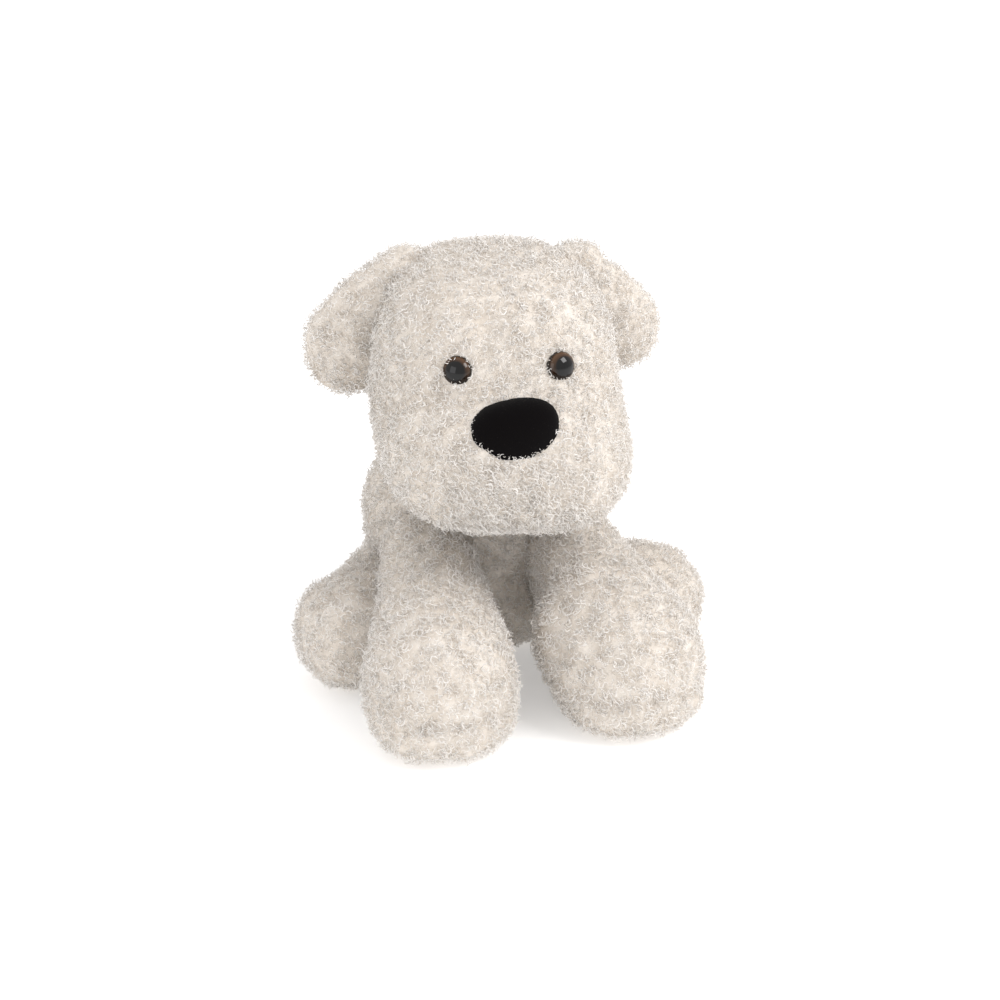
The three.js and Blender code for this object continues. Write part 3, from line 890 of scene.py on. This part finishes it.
for index, (label, cover) in enumerate(leg_covers.items()):
    split = float(coords(cover.data)[:, 0].mean())
    fleeces = [
        plant(f"{label}_pile_outer", cover, label, 31 + 2 * index,
              lambda c: abs(c.x) >= abs(split)),
        plant(f"{label}_pile_inner", cover, label, 32 + 2 * index,
              lambda c: abs(c.x) < abs(split))]
    wear(cover, label, [f"{label}_{part}" for part in ("outer_panel", "inner_panel", "stuffing")],
         fleeces)

for index, (label, cover) in enumerate(ear_covers.items()):
    fleece = plant(f"{label}_pile", cover, label, 51 + index)
    wear(cover, label, [f"{label}_{part}" for part in ("front_panel", "back_panel", "batting")],
         [fleece])

remember("tail", [], 0.003, Matrix.Identity(4))
tail_fleece = plant("tail_pile", tail_cover, "tail", 61)
wear(tail_cover, "tail", ["tail_left_panel", "tail_right_panel", "tail_stuffing"],
     [tail_fleece])

# %% [markdown]
# A safety eye is a black disc on a shank, under a clear brown dome. The pupil shows dark in its
# middle and a narrow brown ring round it. Here the dome is one opaque shell, and the colour is
# painted darker towards its lower edge as painted shade, because the light from above reaches the
# ring only at its top. The dome gets a UV map that holds the distance from its middle and the
# height over its lower edge, and the colours read those.

# %% Eyes
EYE_STEPS, EYE_ROUND = 14, 40


def lens_axis(name):
    """The middle of a lens's flat back, the way it faces, its radius and its height."""
    mesh = frame["nodes"][f"eye_{name}_lens"].data
    points = coords(mesh)
    backs = coords(frame["nodes"][f"eye_{name}_washer"].data)
    way = Vector(points.mean(0) - backs.mean(0)).normalized()
    along = (points - backs.mean(0)) @ np.array(way)
    base = Vector(backs.mean(0)) + way * float(along.min())
    spread = points - np.array(base)
    radius = np.linalg.norm(spread - np.outer(spread @ np.array(way), np.array(way)), axis=1).max()
    return base, way, float(radius), float(along.max() - along.min())


lens_material, lens_tree, lens_shader = new_material("eye_dome")
lens_map = add_node(lens_tree, "ShaderNodeUVMap")
lens_map.uv_map = "from_middle"
lens_split = add_node(lens_tree, "ShaderNodeSeparateXYZ")
lens_tree.links.new(lens_map.outputs["UV"], lens_split.inputs["Vector"])
lens_ring = ramp(lens_tree, lens_split.outputs["X"], [
    (0.0, (0.003, 0.003, 0.003)), (0.62, (0.004, 0.0035, 0.003)),
    (0.72, (0.050, 0.024, 0.011)), (0.88, (0.095, 0.046, 0.021)), (0.98, (0.010, 0.006, 0.004))])
# Painted shade: the colour darkens towards the lower edge of the dome, where the light from above
# doesn't reach.
lens_painted_shade = ramp(lens_tree, lens_split.outputs["Y"], [
    (0.25, (0.12, 0.12, 0.12)), (0.85, (1.0, 1.0, 1.0))])
lens_colours = add_node(lens_tree, "ShaderNodeVectorMath", operation="MULTIPLY")
lens_tree.links.new(lens_ring.outputs["Color"], lens_colours.inputs[0])
lens_tree.links.new(lens_painted_shade.outputs["Color"], lens_colours.inputs[1])
lens_tree.links.new(lens_colours.outputs["Vector"], lens_shader.inputs["Base Color"])
lens_shader.inputs["Roughness"].default_value = 0.06
lens_shader.inputs["Specular IOR Level"].default_value = 0.4

for name in SIDES:
    base, way, radius, height = lens_axis(name)
    turn = way.to_track_quat("Z", "Y")
    dome = bmesh.new()
    rings = []
    for step in range(EYE_STEPS + 1):
        angle = math.pi / 2 * step / EYE_STEPS
        out, up = radius * math.cos(angle), height * math.sin(angle)
        rings.append([dome.verts.new((out * math.cos(a), out * math.sin(a), up))
                      for a in (2 * math.pi * k / EYE_ROUND for k in range(EYE_ROUND))]
                     if step < EYE_STEPS else [dome.verts.new((0, 0, height))])
    for lower, upper in zip(rings, rings[1:]):
        for k in range(EYE_ROUND):
            after = (k + 1) % EYE_ROUND
            if len(upper) == 1:
                dome.faces.new((lower[k], lower[after], upper[0]))
            else:
                dome.faces.new((lower[k], lower[after], upper[after], upper[k]))
    dome.faces.new(list(reversed(rings[0])))
    distance = dome.loops.layers.uv.new("from_middle")
    upward = turn.inverted() @ Vector((0, 0, 1))
    upward = Vector((upward.x, upward.y, 0)).normalized()
    for face in dome.faces:
        face.smooth = len(face.verts) < EYE_ROUND
        for loop in face.loops:
            spot = loop.vert.co
            loop[distance].uv = (math.hypot(spot.x, spot.y) / radius,
                                 (1 + spot.dot(upward) / radius) / 2)
    bmesh.ops.transform(dome, matrix=Matrix.Translation(base) @ turn.to_matrix().to_4x4(),
                        verts=dome.verts)
    mesh = bpy.data.meshes.new(f"eye_dome_{name}")
    dome.to_mesh(mesh)
    dome.free()
    piece = bpy.data.objects.new(f"eye_dome_{name}", mesh)
    bpy.context.scene.collection.objects.link(piece)
    mesh.materials.append(lens_material)
    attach(piece, "head")
    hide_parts(f"eye_{name}_lens")
    print("eye", name, "radius", round(radius * 1000, 2), "height", round(height * 1000, 2), "mm")

# %% [markdown]
# The nose is a padded patch of black velour. It's wider at its top than at its bottom and
# sits a little askew. Velour drinks the light, and its short pile
# brightens only where it is seen edge-on, so a little sheen goes over a nearly black colour.

# %% Nose
NOSE_TILT = math.radians(-9)
nose_material, nose_tree, nose_shader = new_material("nose_velour")
nose_shader.inputs["Base Color"].default_value = (0.0035, 0.0028, 0.003, 1)
nose_shader.inputs["Roughness"].default_value = 0.95
nose_shader.inputs["Specular IOR Level"].default_value = 0.04
nose_shader.inputs["Sheen Weight"].default_value = 0.03
nose_shader.inputs["Sheen Roughness"].default_value = 0.5
nose_grain = object_noise(nose_tree, 1800.0, detail=2.0)
bump(nose_tree, nose_grain.outputs["Fac"], nose_shader, 0.5, 0.0003)

NOSE_SIZE = (0.0176, 0.0108, 0.0132)
NOSE_WIDER_UPWARD = 10.0
FOLD_DEPTH, FOLD_WIDTH = 0.0006, 0.0014
nose_shift = Vector((0.0004, -0.0006, -0.0030))

nose = form_mesh("nose_patch", [{"at": (0, 0, 0), "size": NOSE_SIZE, "power": 2.25}],
                 (0, 0, 0), 0.002, reach=0.05, detail=5)
nose_points = coords(nose.data)
nose_points[:, 0] *= 1 + NOSE_WIDER_UPWARD * nose_points[:, 2]
from_fold = nose_points[:, 0] * 0.75 + nose_points[:, 2] * 0.65
nose_points[:, 1] += FOLD_DEPTH * np.exp(-(from_fold / FOLD_WIDTH) ** 2)
set_coords(nose.data, nose_points)
nose_place = (head_place @ Matrix.Translation(nose_spot + nose_shift)
              @ Matrix.Rotation(NOSE_TILT, 4, "Y"))
nose.data.transform(nose_place)
smooth_faces(nose.data)
nose.data.materials.append(nose_material)
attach(nose, "head")
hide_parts("nose_cover", "nose_padding")

# %% [markdown]
# The small parts keep their CAD shapes and get their own finishes: glossy black
# plastic behind the eyes, milky plastic washers, plain woven cotton round the beads, twisted
# cream thread and a smooth satin label. The label and the closing thread show
# on the back. The others hardly show until the dog is taken apart.

# %% Finishes of the small CAD parts


def solid_finish(name, colour, roughness, specular=0.5):
    material, tree, shader = new_material(name)
    shader.inputs["Base Color"].default_value = (*colour, 1)
    shader.inputs["Roughness"].default_value = roughness
    shader.inputs["Specular IOR Level"].default_value = specular
    return material, tree, shader


def striped_bump(tree, shader, scale, axes, depth):
    """Fine parallel ridges along each named axis, as threads and weaves have."""
    where = add_node(tree, "ShaderNodeTexCoord")
    heights = []
    for axis in axes:
        wave = add_node(tree, "ShaderNodeTexWave", bands_direction=axis)
        wave.inputs["Scale"].default_value = scale
        tree.links.new(where.outputs["Object"], wave.inputs["Vector"])
        heights.append(wave.outputs["Fac"])
    height = heights[0]
    for other in heights[1:]:
        joined = add_node(tree, "ShaderNodeMath", operation="MAXIMUM")
        tree.links.new(height, joined.inputs[0])
        tree.links.new(other, joined.inputs[1])
        height = joined.outputs[0]
    bump(tree, height, shader, 0.6, depth)


eye_back_finish, _, _ = solid_finish("eye_back_plastic", (0.012, 0.012, 0.013), 0.22)
washer_finish, tree, shader = solid_finish("milky_washer_plastic", (0.82, 0.82, 0.79), 0.42)
washer_grain = object_noise(tree, 900.0)
bump(tree, washer_grain.outputs["Fac"], shader, 0.2, 0.0002)
cotton_finish, tree, shader = solid_finish("bead_bag_cotton", (0.78, 0.73, 0.64), 0.85, 0.2)
striped_bump(tree, shader, 320.0, ("X", "Z"), 0.0003)
thread_finish, tree, shader = solid_finish("twisted_thread", (0.80, 0.74, 0.64), 0.6, 0.3)
striped_bump(tree, shader, 500.0, ("DIAGONAL",), 0.0002)
satin_finish, tree, shader = solid_finish("label_satin", (0.88, 0.88, 0.87), 0.3, 0.6)
striped_bump(tree, shader, 700.0, ("Z",), 0.0001)

finishes = {"pellet_bag": cotton_finish, "care_label": satin_finish,
            "closing_seam_thread": thread_finish, "neck_gathering_thread": thread_finish}
for name in SIDES:
    finishes[f"eye_{name}_back"] = eye_back_finish
    finishes[f"eye_{name}_washer"] = washer_finish
for name, finish in finishes.items():
    node = frame["nodes"][name]
    if not node.material_slots:
        node.data.materials.append(finish)
    for slot in node.material_slots:
        slot.material = finish
    print(name, "gets", finish.name)

# %% [markdown]
# The floor is a plain pale sheet, large enough to fill every view.

# %% Floor
floor_mesh = bpy.data.meshes.new("floor")
floor_size = 6.0
floor_mesh.from_pydata(
    [(-floor_size, -floor_size, 0), (floor_size, -floor_size, 0),
     (floor_size, floor_size, 0), (-floor_size, floor_size, 0)], [], [(0, 1, 2, 3)])
floor = bpy.data.objects.new("floor", floor_mesh)
bpy.context.scene.collection.objects.link(floor)
floor_material, _, floor_shader = new_material("pale_floor")
floor_shader.inputs["Base Color"].default_value = (0.96, 0.96, 0.96, 1)
floor_shader.inputs["Roughness"].default_value = 0.9
floor_shader.inputs["Emission Color"].default_value = (1, 1, 1, 1)
floor_shader.inputs["Emission Strength"].default_value = 0.28
floor_mesh.materials.append(floor_material)
